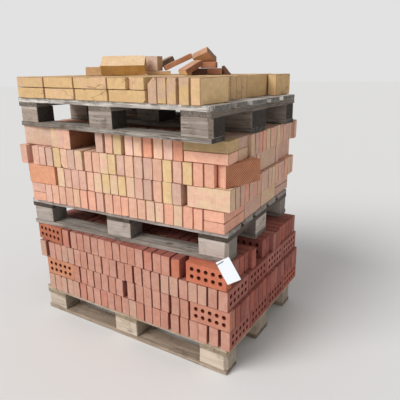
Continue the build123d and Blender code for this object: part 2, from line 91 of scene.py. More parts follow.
scene = bpy.context.scene
scene.view_settings.view_transform = "Standard"
world = bpy.data.worlds.new("sky")
world.use_nodes = True
scene.world = world
sky = world.node_tree
background = sky.nodes["Background"]
path = sky.nodes.new("ShaderNodeLightPath")
seen = sky.nodes.new("ShaderNodeMath")
seen.operation = "MAXIMUM"
sky.links.new(path.outputs["Is Camera Ray"], seen.inputs[0])
sky.links.new(path.outputs["Is Glossy Ray"], seen.inputs[1])
strength = sky.nodes.new("ShaderNodeMapRange")
strength.inputs["To Min"].default_value = SKY_STRENGTH
strength.inputs["To Max"].default_value = BACKGROUND_GREY
sky.links.new(seen.outputs[0], strength.inputs["Value"])
sky.links.new(strength.outputs[0], background.inputs["Strength"])
background.inputs["Color"].default_value = (1, 1, 1, 1)

lamp = bpy.data.objects.new("soft_lamp", bpy.data.lights.new("soft_lamp", "SUN"))
lamp.data.energy = LAMP_STRENGTH
lamp.data.angle = LAMP_WIDTH
from_lamp = Vector((
    math.sin(LAMP_HEADING) * math.cos(LAMP_HEIGHT),
    -math.cos(LAMP_HEADING) * math.cos(LAMP_HEIGHT),
    math.sin(LAMP_HEIGHT),
))
lamp.matrix_world = from_lamp.to_track_quat("Z", "Y").to_matrix().to_4x4()
scene.collection.objects.link(lamp)
print("lamp", LAMP_STRENGTH, "sky", SKY_STRENGTH)

# %% [markdown]
# The floor is plain and pale. It is one wide disc that ends far outside every view.
# %% Floor
FLOOR_RADIUS = 40
FLOOR_SIDES = 64
FLOOR_DROP = 0.0005
FLOOR_COLOUR = (0.8, 0.795, 0.785, 1)
FLOOR_ROUGHNESS = 0.9

shape = bmesh.new()
bmesh.ops.create_circle(shape, cap_ends=True, segments=FLOOR_SIDES, radius=FLOOR_RADIUS)
bmesh.ops.translate(shape, vec=(0, 0, -FLOOR_DROP), verts=shape.verts)
floor_mesh = bpy.data.meshes.new("floor")
shape.to_mesh(floor_mesh)
shape.free()
floor = bpy.data.objects.new("floor", floor_mesh)
scene.collection.objects.link(floor)
floor_finish = bpy.data.materials.new("pale floor")
floor_finish.use_nodes = True
floor_shader = floor_finish.node_tree.nodes["Principled BSDF"]
floor_shader.inputs["Base Color"].default_value = FLOOR_COLOUR
floor_shader.inputs["Roughness"].default_value = FLOOR_ROUGHNESS
floor_mesh.materials.append(floor_finish)
print("floor radius", FLOOR_RADIUS)

# %% [markdown]
# Colours are given as screen values, from 0 to 255, but a shader wants them as amounts of
# light. Blender's colour picker takes this step by itself. A script has to take it, along the
# curve that screens use.
# %% Screen colours
def colour(red, green, blue):
    """A colour from its screen values of 0 to 255."""
    def straight(value):
        value /= 255
        return value / 12.92 if value <= 0.04045 else ((value + 0.055) / 1.055) ** 2.4
    return (straight(red), straight(green), straight(blue), 1)


print("half grey on the screen is", round(colour(128, 128, 128)[0], 3), "as light")

# %% [markdown]
# A material is a graph of nodes. A few helpers keep each graph short: one adds a node and joins
# its inputs, and the others name the steps that every clay and every wood needs, such as noise,
# a soft threshold and a mix of two colours. Clay and rough wood hardly shine, so the specular
# level is low and is set on the shader's own socket.
# %% Shader helpers
SPECULAR = 0.25


class Finish:
    """One material and the nodes that make it."""

    def __init__(self, name, roughness):
        self.material = bpy.data.materials.new(name)
        self.material.use_nodes = True
        self.tree = self.material.node_tree
        self.shader = self.tree.nodes["Principled BSDF"]
        self.shader.inputs["Roughness"].default_value = roughness
        self.shader.inputs["Specular IOR Level"].default_value = SPECULAR

    def add(self, kind, inputs, **settings):
        """A node with its settings, and with each input set or joined to a socket."""
        node = self.tree.nodes.new("ShaderNode" + kind)
        for key, value in settings.items():
            setattr(node, key, value)
        for key, value in inputs.items():
            if isinstance(value, bpy.types.NodeSocket):
                self.tree.links.new(value, node.inputs[key])
            else:
                node.inputs[key].default_value = value
        return node

    def own(self, name, output="Fac"):
        """What the mesh stores under a name."""
        return self.add("Attribute", {}, attribute_name=name).outputs[output]

    def stretch(self, vector, scale):
        """Coordinates multiplied along each axis; a small number draws a pattern out."""
        return self.add("VectorMath", {0: vector, 1: scale}, operation="MULTIPLY").outputs[0]

    def noise(self, vector, scale, detail=2, rough=0.5):
        inputs = {"Vector": vector, "Scale": scale, "Detail": detail, "Roughness": rough}
        return self.add("TexNoise", inputs).outputs["Fac"]

    def between(self, value, low, high, start=0, end=1):
        """A soft step: start below low, end above high."""
        inputs = {"Value": value, "From Min": low, "From Max": high, "To Min": start, "To Max": end}
        return self.add("MapRange", inputs, interpolation_type="SMOOTHSTEP").outputs[0]

    def count(self, operation, first, second=0):
        return self.add("Math", {0: first, 1: second}, operation=operation).outputs[0]

    def mix(self, share, first, second):
        return self.add("Mix", {0: share, 6: first, 7: second}, data_type="RGBA").outputs[2]

    def shade(self, first, brightness):
        """A colour made lighter or darker by a number."""
        return self.add("VectorMath", {0: first, "Scale": brightness}, operation="SCALE").outputs[0]

    def dress(self, base, height, depth, strength=1):
        """Joins the colour and the bump to the shader and gives the material back."""
        inputs = {"Height": height, "Distance": depth, "Strength": strength}
        bump = self.add("Bump", inputs)
        self.tree.links.new(base, self.shader.inputs["Base Color"])
        self.tree.links.new(bump.outputs[0], self.shader.inputs["Normal"])
        return self.material


print("shader helpers ready")

# %% [markdown]
# Fired clay is matt and never one colour. Each brick carries its own tint, and a second tint for
# the patches that the kiln left. Soft clouds, streaks along the way that the clay was pressed,
# fine grit, small dark pits and on some bricks a drying crack come on top, and the worn arrises
# are darkened, partly dirt and partly painted shade of the open joints. The pattern follows the
# attribute named own, the brick's own coordinates, so that it never runs on from one brick into
# the next.
# %% Sizes, steps and colours in the clay
PATCH_SCALE = 16
CLOUD_SCALE = 45
STREAK_SCALE = 300
STREAK_STRETCH = (1, 0.07, 1)
GRIT_SCALE = 520
PIT_SCALE = 150
PIT_FIELD_SCALE = 60
HATCH_SCALE = 56
HATCH_DISTORTION = 0.5
CRACK_SCALE = 13
CRACK_STRETCH = (0.28, 1, 1)
CRACK_FIELD_SCALE = 5

PATCH_STEP = (0.42, 0.62)
MIDDLE_STEP = (0.3, 0.7)
WIDE_STEP = (0.25, 0.75)
CLOUD_LIGHT = (0.93, 1.05)
STREAK_LIGHT = (0.95, 1.04)
PIT_STEP = (0.1, 0.24)
PIT_FIELD = (0.53, 0.62)
HATCH_STEP = (0.4, 0.7)
HATCH_SHARE = 0.5
CRACK_STEP = (0.002, 0.009)
CRACK_FIELD = (0.5, 0.54)

CLAY_ROUGHNESS = 0.92
CLAY_DEPTH = 0.001
CLAY_BUMP = 0.6
GRIT_HEIGHT = 0.4
# Dark brown on worn arrises: partly dirt, partly painted shade of the open joints.
ARRIS_DIRT_AND_SHADE = colour(112, 66, 50)
PIT_DARK = colour(92, 58, 46)
HATCH_DARK = colour(120, 62, 40)
CRACK_DARK = colour(86, 54, 36)
print("grit is about", round(1000 / GRIT_SCALE, 1), "mm, clouds", round(1000 / CLOUD_SCALE), "mm")

# %% [markdown]
# Every layer is a noise that a soft step turns into a share, and the share mixes a darker colour
# in or scales the brightness. The same layers feed the bump, so that a pit is dark and low. A
# crack is where a slow noise crosses its middle value, which draws a thin winding line.
# %% Clay material
NOISE_MIDDLE = 0.5


def clay(name, patchiness, grit, pit_share, dirt_and_shade, cracks=0):
    """Fired clay. The numbers say how strong each layer is."""
    finish = Finish(name, CLAY_ROUGHNESS)
    own = finish.own("own", "Vector")
    patches = finish.noise(own, PATCH_SCALE, detail=3)
    patches = finish.between(patches, *PATCH_STEP, 0, patchiness)
    base = finish.mix(patches, finish.own("tint", "Color"), finish.own("patch", "Color"))
    cloud = finish.noise(own, CLOUD_SCALE, detail=4, rough=0.6)
    base = finish.shade(base, finish.between(cloud, *MIDDLE_STEP, *CLOUD_LIGHT))
    streaks = finish.noise(finish.stretch(own, STREAK_STRETCH), STREAK_SCALE)
    base = finish.shade(base, finish.between(streaks, *MIDDLE_STEP, *STREAK_LIGHT))
    fine = finish.noise(own, GRIT_SCALE, detail=3, rough=0.7)
    base = finish.shade(base, finish.between(fine, *WIDE_STEP, 1 - grit, 1 + grit))
    # The worn arrises are darkened, partly dirt and partly painted shade of the joints.
    worn = finish.between(finish.own("worn"), 0, 1, 0, dirt_and_shade)
    base = finish.mix(worn, base, ARRIS_DIRT_AND_SHADE)
    cells = finish.add("TexVoronoi", {"Vector": own, "Scale": PIT_SCALE}).outputs["Distance"]
    field = finish.between(finish.noise(own, PIT_FIELD_SCALE), *PIT_FIELD)
    pits = finish.count("MULTIPLY", finish.between(cells, *PIT_STEP, 1, 0), field)
    base = finish.mix(finish.count("MULTIPLY", pits, pit_share), base, PIT_DARK)
    bands = {"Vector": own, "Scale": HATCH_SCALE, "Distortion": HATCH_DISTORTION}
    lines = finish.add("TexWave", bands, bands_direction="DIAGONAL").outputs["Fac"]
    lines = finish.between(lines, *HATCH_STEP, 0, HATCH_SHARE)
    base = finish.mix(finish.count("MULTIPLY", finish.own("hatch"), lines), base, HATCH_DARK)
    lengthwise = finish.noise(finish.stretch(own, CRACK_STRETCH), CRACK_SCALE, detail=3)
    crack = finish.count("ABSOLUTE", finish.count("SUBTRACT", lengthwise, NOISE_MIDDLE))
    crack = finish.between(crack, *CRACK_STEP, 1, 0)
    field = finish.between(finish.noise(own, CRACK_FIELD_SCALE), *CRACK_FIELD, 0, cracks)
    crack = finish.count("MULTIPLY", crack, field)
    base = finish.mix(crack, base, CRACK_DARK)
    height = finish.count("ADD", finish.count("MULTIPLY", fine, GRIT_HEIGHT), cloud)
    height = finish.count("SUBTRACT", height, finish.count("ADD", pits, crack))
    return finish.dress(base, height, CLAY_DEPTH, CLAY_BUMP)


red_clay = clay("red fired clay", patchiness=0.7, grit=0.06, pit_share=0.5, dirt_and_shade=0.6)
mixed_clay = clay("mixed fired clay", patchiness=0.8, grit=0.05, pit_share=0.6, dirt_and_shade=0.55)
buff_clay = clay("buff fired clay", patchiness=0.9, grit=0.08, pit_share=0.7, dirt_and_shade=0.5, cracks=0.6)
loose_clay = clay("loose fired clay", patchiness=0.8, grit=0.08, pit_share=0.7, dirt_and_shade=0.35)
dark_clay = clay("dark fired clay", patchiness=0.7, grit=0.08, pit_share=0.5, dirt_and_shade=0.4)
clays = (red_clay, mixed_clay, buff_clay, loose_clay, dark_clay)
print("clays:", ", ".join(material.name for material in clays))

# %% [markdown]
# The pallets are rough sawn softwood that has weathered to different greys. Growth rings cut
# along the board read as long streaks, so the noise is stretched far along the grain. Knots,
# fine drying cracks and dirt on the edges follow, and a sawn end shows the rings themselves.
# %% Sizes, steps and colours in the wood
BEND_SCALE = 5
BEND_REACH = (0.02, 0.02, 0.02)
BROAD_STRETCH = (2.2, 48, 48)
STREAK_GRAIN = (4, 170, 170)
FIBRE_STRETCH = (16, 430, 430)
KNOT_STRETCH = (5, 8, 8)
SPLIT_FIELD_SCALE = 9
STAIN_SCALE = 13
PITH_PLACE = (0, 0.05, 0.09)
RING_DENSITY = 1500

BOARD_STEP = (0.4, 0.66)
STREAK_RISE = 0.6
FIBRE_FALL = 0.7
FIBRE_LIGHT = 1.08
KNOT_CHANCE = 0.45
KNOT_STEP = (0.07, 0.15)
KNOT_SHARE = 0.6
SPLIT_STEP = (0, 0.012)
SPLIT_FIELD = (0.5, 0.6)
SPLIT_SHARE = 0.7
RING_LIGHT = (0.84, 1)
STAIN_STEP = (0.5, 0.72)
WORN_SHARE = 0.35

WOOD_ROUGHNESS = 0.88
WOOD_DEPTH = 0.0016
WOOD_BUMP = 0.8
FIBRE_HEIGHT = 0.6
SPLIT_HEIGHT = 1.5
KNOT_DARK = colour(88, 68, 52)
SPLIT_DARK = colour(52, 44, 38)
STAIN_DARK = colour(92, 80, 68)
WORN_WOOD = colour(126, 112, 96)
print("growth rings", round(1000 * 2 * math.pi / RING_DENSITY, 1), "mm apart")

# %% [markdown]
# The grain bends a little, so the coordinates are moved by a slow noise before they are
# stretched. A board shows the grain, and a block is cut from the same wood with less contrast.
# The growth rings are a sine of the distance from a pith that lies outside the board.
# %% Wood material
def wood(name, contrast, grime):
    """Rough sawn wood. Contrast is how strong the grain is, grime how strong the stains are."""
    finish = Finish(name, WOOD_ROUGHNESS)
    own = finish.own("own", "Vector")
    bend = finish.add("TexNoise", {"Vector": own, "Scale": BEND_SCALE}).outputs["Color"]
    bend = finish.add("VectorMath", {0: bend, 1: BEND_REACH, 2: own}, operation="MULTIPLY_ADD")
    along = bend.outputs[0]
    broad = finish.noise(finish.stretch(along, BROAD_STRETCH), 1, detail=4, rough=0.6)
    fibre = finish.noise(finish.stretch(own, FIBRE_STRETCH), 1, detail=3, rough=0.6)
    streaks = finish.noise(finish.stretch(along, STREAK_GRAIN), 1, detail=3, rough=0.55)
    patches = finish.between(broad, *BOARD_STEP)
    base = finish.mix(patches, finish.own("tint", "Color"), finish.own("patch", "Color"))
    light = (1 - contrast, 1 + STREAK_RISE * contrast)
    base = finish.shade(base, finish.between(streaks, *WIDE_STEP, *light))
    light = (1 - FIBRE_FALL * contrast, FIBRE_LIGHT)
    base = finish.shade(base, finish.between(fibre, *WIDE_STEP, *light))
    knots = finish.add("TexVoronoi", {"Vector": finish.stretch(own, KNOT_STRETCH), "Scale": 1})
    chosen = finish.count("GREATER_THAN", knots.outputs["Color"], KNOT_CHANCE)
    knot = finish.between(knots.outputs["Distance"], *KNOT_STEP, 1, 0)
    knot = finish.count("MULTIPLY", knot, chosen)
    base = finish.mix(finish.count("MULTIPLY", knot, KNOT_SHARE), base, KNOT_DARK)
    split = finish.count("ABSOLUTE", finish.count("SUBTRACT", broad, NOISE_MIDDLE))
    split = finish.between(split, *SPLIT_STEP, 1, 0)
    field = finish.between(finish.noise(own, SPLIT_FIELD_SCALE), *SPLIT_FIELD)
    split = finish.count("MULTIPLY", split, field)
    base = finish.mix(finish.count("MULTIPLY", split, SPLIT_SHARE), base, SPLIT_DARK)
    across = {0: own, 1: (0, 1, 1), 2: PITH_PLACE}
    pith = finish.add("VectorMath", across, operation="MULTIPLY_ADD")
    far = finish.add("VectorMath", {0: pith.outputs[0]}, operation="LENGTH").outputs["Value"]
    rings = finish.count("SINE", finish.count("MULTIPLY", far, RING_DENSITY))
    ringed = finish.shade(base, finish.between(rings, -1, 1, *RING_LIGHT))
    base = finish.mix(finish.own("end"), base, ringed)
    stains = finish.noise(own, STAIN_SCALE, detail=5, rough=0.7)
    base = finish.mix(finish.between(stains, *STAIN_STEP, 0, grime), base, STAIN_DARK)
    worn = finish.between(finish.own("worn"), 0, 1, 0, WORN_SHARE)
    base = finish.mix(worn, base, WORN_WOOD)
    height = finish.count("ADD", finish.count("MULTIPLY", fibre, FIBRE_HEIGHT), streaks)
    height = finish.count("SUBTRACT", height, finish.count("MULTIPLY", split, SPLIT_HEIGHT))
    return finish.dress(base, height, WOOD_DEPTH, WOOD_BUMP)


fresh_wood = wood("fresh rough wood", contrast=0.16, grime=0.45)
grey_wood = wood("weathered grey wood", contrast=0.33, grime=0.5)
dark_wood = wood("old dark wood", contrast=0.44, grime=0.7)
fresh_block_wood = wood("fresh block wood", contrast=0.07, grime=0.4)
grey_block_wood = wood("grey block wood", contrast=0.09, grime=0.4)
dark_block_wood = wood("dark block wood", contrast=0.16, grime=0.6)
print("woods:", ", ".join(material.name for material in (fresh_wood, grey_wood, dark_wood)))

# %% [markdown]
# Each load stands a little turned on the one below it. The three frames below say where each
# pallet and its load stand, so that a brick can be found by its place in its own row.
# %% Frames of the three tiers
MIDDLE_SHIFT = Vector((-0.045, 0.022, 0.536))
MIDDLE_TURN = math.radians(2.74)
TOP_SHIFT = Vector((-0.023, -0.032, 1.080))
TOP_TURN = math.radians(-2.59)

bottom_frame = Matrix.Identity(4)
middle_frame = Matrix.Translation(MIDDLE_SHIFT) @ Matrix.Rotation(MIDDLE_TURN, 4, "Z")
top_frame = Matrix.Translation(TOP_SHIFT) @ Matrix.Rotation(TOP_TURN, 4, "Z")
LOWER_FRAMES = {
    "bottom": bottom_frame, "red": bottom_frame, "middle": middle_frame, "mixed": middle_frame,
}


def tier_frame(node):
    """The frame of the tier that a node belongs to, by the first word of its name."""
    return LOWER_FRAMES.get(node.split("_")[0], top_frame)


print("tiers start at 0,", round(MIDDLE_SHIFT.z, 3), "and", round(TOP_SHIFT.z, 3), "m")

# %% [markdown]
# A brick is finished in its own frame, with its length along X, its width along Y and its
# thickness along Z, whichever way it lies in the stack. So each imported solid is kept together
# with that frame and with its size along it.
# %% One solid
FLAT_ANGLE = 0.02


class Solid:
    """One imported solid: its faces, its own frame and its size along that frame's axes."""

    def __init__(self, faces, axes):
        self.faces = faces
        corners = [vert.co for face in faces for vert in face.verts]
        rotation = Matrix(axes)
        turned = [rotation @ corner for corner in corners]
        low = Vector([min(corner[axis] for corner in turned) for axis in range(3)])
        high = Vector([max(corner[axis] for corner in turned) for axis in range(3)])
        self.size = high - low
        self.centre = rotation.transposed() @ ((low + high) / 2)
        self.frame = Matrix.Translation(self.centre) @ rotation.transposed().to_4x4()

    def copied(self):
        """The solid as a mesh in its own frame, with each flat face made whole."""
        shape = bmesh.new()
        into = self.frame.inverted()
        corners = {}
        for face in self.faces:
            for vert in face.verts:
                if vert not in corners:
                    corners[vert] = shape.verts.new(into @ vert.co)
            shape.faces.new([corners[vert] for vert in face.verts])
        bmesh.ops.dissolve_limit(
            shape, angle_limit=FLAT_ANGLE, verts=shape.verts, edges=shape.edges
        )
        return shape


print("faces within", FLAT_ANGLE, "radians of each other become one")

# %% [markdown]
# The frame of a brick can be read from its flat faces. The widest pair gives the thickness, the
# next pair square to it the width, and the length is square to both. The length is their cross
# product, so the frame is always right-handed and no brick is turned inside out.
# %% Frame of a brick
SAME_WAY = 0.999
SQUARE_TO = 0.01


def clay_axes(faces):
    """Length, width and thickness of a brick, read from the areas of its faces."""
    found = []
    for face in faces:
        for entry in found:
            if abs(entry[0].dot(face.normal)) > SAME_WAY:
                entry[1] += face.calc_area()
                break
        else:
            found.append([face.normal.copy(), face.calc_area()])
    found.sort(key=lambda entry: -entry[1])
    thickness = found[0][0]
    width = next(way for way, area in found if abs(way.dot(thickness)) < SQUARE_TO)
    width = (width - thickness * width.dot(thickness)).normalized()
    width, thickness = [way if max(way, key=abs) > 0 else -way for way in (width, thickness)]
    return [width.cross(thickness), width, thickness]


print("a brick's width is square to its thickness within", SQUARE_TO)

# %% [markdown]
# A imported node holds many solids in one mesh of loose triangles. A copy of it is merged and then
# walked from face to face, which gives each solid by itself. Separate by loose parts would do
# the same in the editor. The wall of a hole can come out by itself, so anything far smaller than
# a brick is passed over: the dressed brick gets its holes another way.
# %% Solids of a node
MERGE = 0.0001
SMALLEST = 0.06


def solids_of(node, axes_of):
    """The solids of a node, sorted by place so that random draws come in a fixed order."""
    shape = bmesh.new()
    shape.from_mesh(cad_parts[node].data)
    bmesh.ops.remove_doubles(shape, verts=shape.verts, dist=MERGE)
    shape.normal_update()
    seen = set()
    solids = []
    for first in shape.faces:
        if first in seen:
            continue
        seen.add(first)
        faces = [first]
        for face in faces:
            near = [other for edge in face.edges for other in edge.link_faces]
            for other in near:
                if other not in seen:
                    seen.add(other)
                    faces.append(other)
        solid = Solid(faces, axes_of(faces))
        if max(solid.size) > SMALLEST:
            solids.append(solid)
    back = tier_frame(node).inverted()
    solids.sort(key=lambda solid: tuple(round(value, 2) for value in (back @ solid.centre).zyx))
    return shape, solids


sample, sample_solids = solids_of("buff_edge_bricks", clay_axes)
print("buff bricks on edge:", len(sample_solids))
print("size of the first:", [round(value, 3) for value in sample_solids[0].size])
sample.free()

# %% [markdown]
# Bricks out of a kiln are not sharp. A copy of each brick gets a few cuts so that its long edges
# can waver, some corners are knocked off with a slanted cut, then every sharp edge is bevelled,
# and all corners are moved by a fraction of a millimetre. There are hundreds of bricks, so the
# bevel has one segment and each brick stays light.
# %% Rough edges
ARRIS = {"red": 0.0016, "mixed": 0.0021, "buff": 0.0025}
LOOSE_ARRIS = 0.002
WAVER = 0.0008
SHARP = math.radians(40)


def cut_across(shape, place, way):
    """Divides the faces that a plane crosses, and takes nothing away."""
    everything = shape.verts[:] + shape.edges[:] + shape.faces[:]
    bmesh.ops.bisect_plane(shape, geom=everything, plane_co=place, plane_no=way)


def knock_off(shape, place, way):
    """Cuts a piece off on the side that the direction points to, and closes the wound."""
    everything = shape.verts[:] + shape.edges[:] + shape.faces[:]
    cut = bmesh.ops.bisect_plane(
        shape, geom=everything, plane_co=place, plane_no=way, clear_outer=True
    )
    rim = [item for item in cut["geom_cut"] if isinstance(item, bmesh.types.BMEdge)]
    if rim:
        bmesh.ops.holes_fill(shape, edges=rim, sides=0)


def round_edges(shape, radius):
    """Bevels each sharp edge."""
    sharp = [
        edge for edge in shape.edges
        if len(edge.link_faces) == 2 and edge.calc_face_angle() > SHARP
    ]
    bmesh.ops.bevel(
        shape, geom=sharp, offset=radius, offset_type="OFFSET", segments=1, profile=0.5,
        affect="EDGES", clamp_overlap=True, material=-1,
    )


def waver(shape, draw, reach):
    """Moves every corner a little, so that no edge is quite straight."""
    for vert in shape.verts:
        vert.co += Vector([draw.uniform(-reach, reach) for _ in range(3)])


print("arrises, mm:", {load: 1000 * radius for load, radius in ARRIS.items()})

# %% [markdown]
# A red brick whose bed face shows has ten round holes. A flat grid has one cell for each hole and
# a border round them. In each of those cells a smaller face is inset, its rim is divided and
# pushed out to a circle, and the faces that are left are extruded to the brick's thickness. A
# boolean would cut the same holes, but this way every rim stays clean enough to be bevelled.
# %% Holed brick
HOLE_RADIUS = 0.0095
HOLE_PITCH = 0.0365
HOLE_ROW_PITCH = 0.036
HOLES_LONG = 5
HOLES_WIDE = 2
RIM_CUTS = 2
CELL_INSET = 0.004
RED_BRICK = Vector((0.21, 0.098, 0.048))


def grid_line(number, count, pitch, size):
    """Where a line of the grid runs: the outer ones on the edges, the rest round the holes."""
    if number in (0, count):
        return (number / count - 0.5) * size
    return (number - count / 2) * pitch


def holed_shape(size):
    """A brick with its holes, in its own frame, closed and with its faces outwards."""
    shape = bmesh.new()
    long, wide = HOLES_LONG + 2, HOLES_WIDE + 2
    bmesh.ops.create_grid(shape, x_segments=long, y_segments=wide, size=0.5)
    for vert in shape.verts:
        vert.co.x = grid_line(round((vert.co.x + 0.5) * long), long, HOLE_PITCH, size.x)
        vert.co.y = grid_line(round((vert.co.y + 0.5) * wide), wide, HOLE_ROW_PITCH, size.y)
    reach = (HOLES_LONG * HOLE_PITCH / 2, HOLES_WIDE * HOLE_ROW_PITCH / 2)
    centres = {face: face.calc_center_median() for face in shape.faces}
    cells = [
        face for face, centre in centres.items()
        if abs(centre.x) < reach[0] and abs(centre.y) < reach[1]
    ]
    bmesh.ops.inset_individual(shape, faces=cells, thickness=CELL_INSET)
    rims = [edge for cell in cells for edge in cell.edges]
    bmesh.ops.subdivide_edges(shape, edges=rims, cuts=RIM_CUTS)
    for cell in cells:
        middle = cell.calc_center_bounds()
        for vert in cell.verts:
            vert.co = middle + (vert.co - middle).normalized() * HOLE_RADIUS
    bmesh.ops.delete(shape, geom=cells, context="FACES_ONLY")
    faces = shape.faces[:]
    bmesh.ops.translate(shape, vec=(0, 0, -size.z / 2), verts=shape.verts)
    raised = bmesh.ops.extrude_face_region(shape, geom=faces, use_keep_orig=True)
    top = [item for item in raised["geom"] if isinstance(item, bmesh.types.BMVert)]
    bmesh.ops.translate(shape, vec=(0, 0, size.z), verts=top)
    bmesh.ops.recalc_face_normals(shape, faces=shape.faces)
    return shape


trial = holed_shape(RED_BRICK)
print("holed brick before its bevels:", len(trial.faces), "faces")
trial.free()

# %% [markdown]
# The ends of a brick are paler than its long sides, partly in the clay and partly as painted
# shade; its worn edges are darker, partly dirt and partly painted shade of the joints; and the
# walls of its holes carry a painted shadow. Which kind a face is shows in its normal, because
# every piece is finished in its own frame, so no face has to be picked by hand. A wall of a hole
# lies well inside the outline.
# %% Kinds of faces
END, SIDE, BED, HOLE = "end", "side", "bed", "hole"
SQUARE_FACE = 0.93
UPRIGHT_WALL = 0.9
WALL_DEPTH = 0.005


def kind_of(normal):
    """Which face of a brick or board this is, or none for a bevel or a broken corner."""
    for axis, kind in enumerate((END, SIDE, BED)):
        if abs(normal[axis]) > SQUARE_FACE:
            return kind
    return None


def in_a_hole(face, reach):
    """Whether a face is the wall of a hole, well inside the outline of the brick."""
    centre = face.calc_center_median()
    inside = abs(centre.x) < reach[0] and abs(centre.y) < reach[1]
    return inside and abs(face.normal.z) < UPRIGHT_WALL


print("the kind of a face that looks along the thickness:", kind_of(Vector((0, 0, 1))))

# %% [markdown]
# One material serves hundreds of bricks, and still each looks like itself, because the colours
# are stored on the faces and the material reads them as attributes. Six are stored: the brick's
# own coordinates for the patterns, its tint, the colour of its patches, and whether the face is
# worn, a sawn end or hatched. A tone is the pair of the tint and the patch colour. The patterns
# start at a place drawn for each brick, so that no two bricks show the same patches.
# %% Colours on the faces
PATTERN_SPREAD = 5


def pattern_place(draw):
    """Where the patterns of one brick or board start."""
    return Vector([draw.uniform(-PATTERN_SPREAD, PATTERN_SPREAD) for _ in range(3)])


def stamp(shape, tone_of, offset, holed=False, hatch=None):
    """Stores the piece's own coordinates and the colours of its faces."""
    own = shape.verts.layers.float_vector.new("own")
    tint = shape.loops.layers.float_color.new("tint")
    patch = shape.loops.layers.float_color.new("patch")
    worn = shape.loops.layers.float.new("worn")
    end = shape.loops.layers.float.new("end")
    hatched = shape.loops.layers.float.new("hatch")
    shape.normal_update()
    for vert in shape.verts:
        vert[own] = vert.co + offset
    reach = [max(abs(vert.co[axis]) for vert in shape.verts) - WALL_DEPTH for axis in range(2)]
    for face in shape.faces:
        kind = kind_of(face.normal)
        if holed and in_a_hole(face, reach):
            kind = HOLE
        first, second = tone_of(kind)
        for loop in face.loops:
            loop[tint] = first
            loop[patch] = second
            loop[worn] = 1 if kind is None else 0
            loop[end] = 1 if kind == END else 0
            loop[hatched] = 1 if hatch and kind == hatch else 0


def lighter(tone, share):
    """A tone made lighter or darker as a whole."""
    return tuple(tuple(value * share for value in part[:3]) + (1,) for part in tone)


print("patterns start up to", PATTERN_SPREAD, "m from the brick's own middle")

# %% [markdown]
# Each node's finished bricks are added to one mesh, and the object of that mesh stands for the
# node. An object for each brick would be easy to pick, but hundreds of objects are slow to load.
# Only the card and its tie keep their imported shape.
# %% One piece for a node
def make_piece(node, material, shapes):
    """One object for a node, from the finished shapes of its solids."""
    joined = bmesh.new()
    scratch = bpy.data.meshes.new("scratch")
    for shape in shapes:
        shape.to_mesh(scratch)
        shape.free()
        joined.from_mesh(scratch)
    mesh = bpy.data.meshes.new(node + "_dressed")
    joined.to_mesh(mesh)
    joined.free()
    bpy.data.meshes.remove(scratch)
    piece = bpy.data.objects.new(node + "_dressed", mesh)
    scene.collection.objects.link(piece)
    mesh.materials.append(material)
    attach(piece, "root")
    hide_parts(node)
    print(piece.name, len(mesh.polygons), "faces")


KEPT_SHAPES = ("label_card", "label_tie")
print("pieces to make:", len(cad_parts) - len(KEPT_SHAPES))

# %% [markdown]
# The tones, named as a bricklayer would. Each is the main colour and the colour of its patches.
# A brick shows paler ends than long sides, partly in its clay and partly as painted shade, so
# some tones come with another one for those faces.
# The tables hold screen values, and one function turns all of them into amounts of light.
# %% Tones of the bricks
def as_light(table):
    """A table of tones with its screen values made amounts of light."""
    return {name: tuple(colour(*screen) for screen in tone) for name, tone in table.items()}


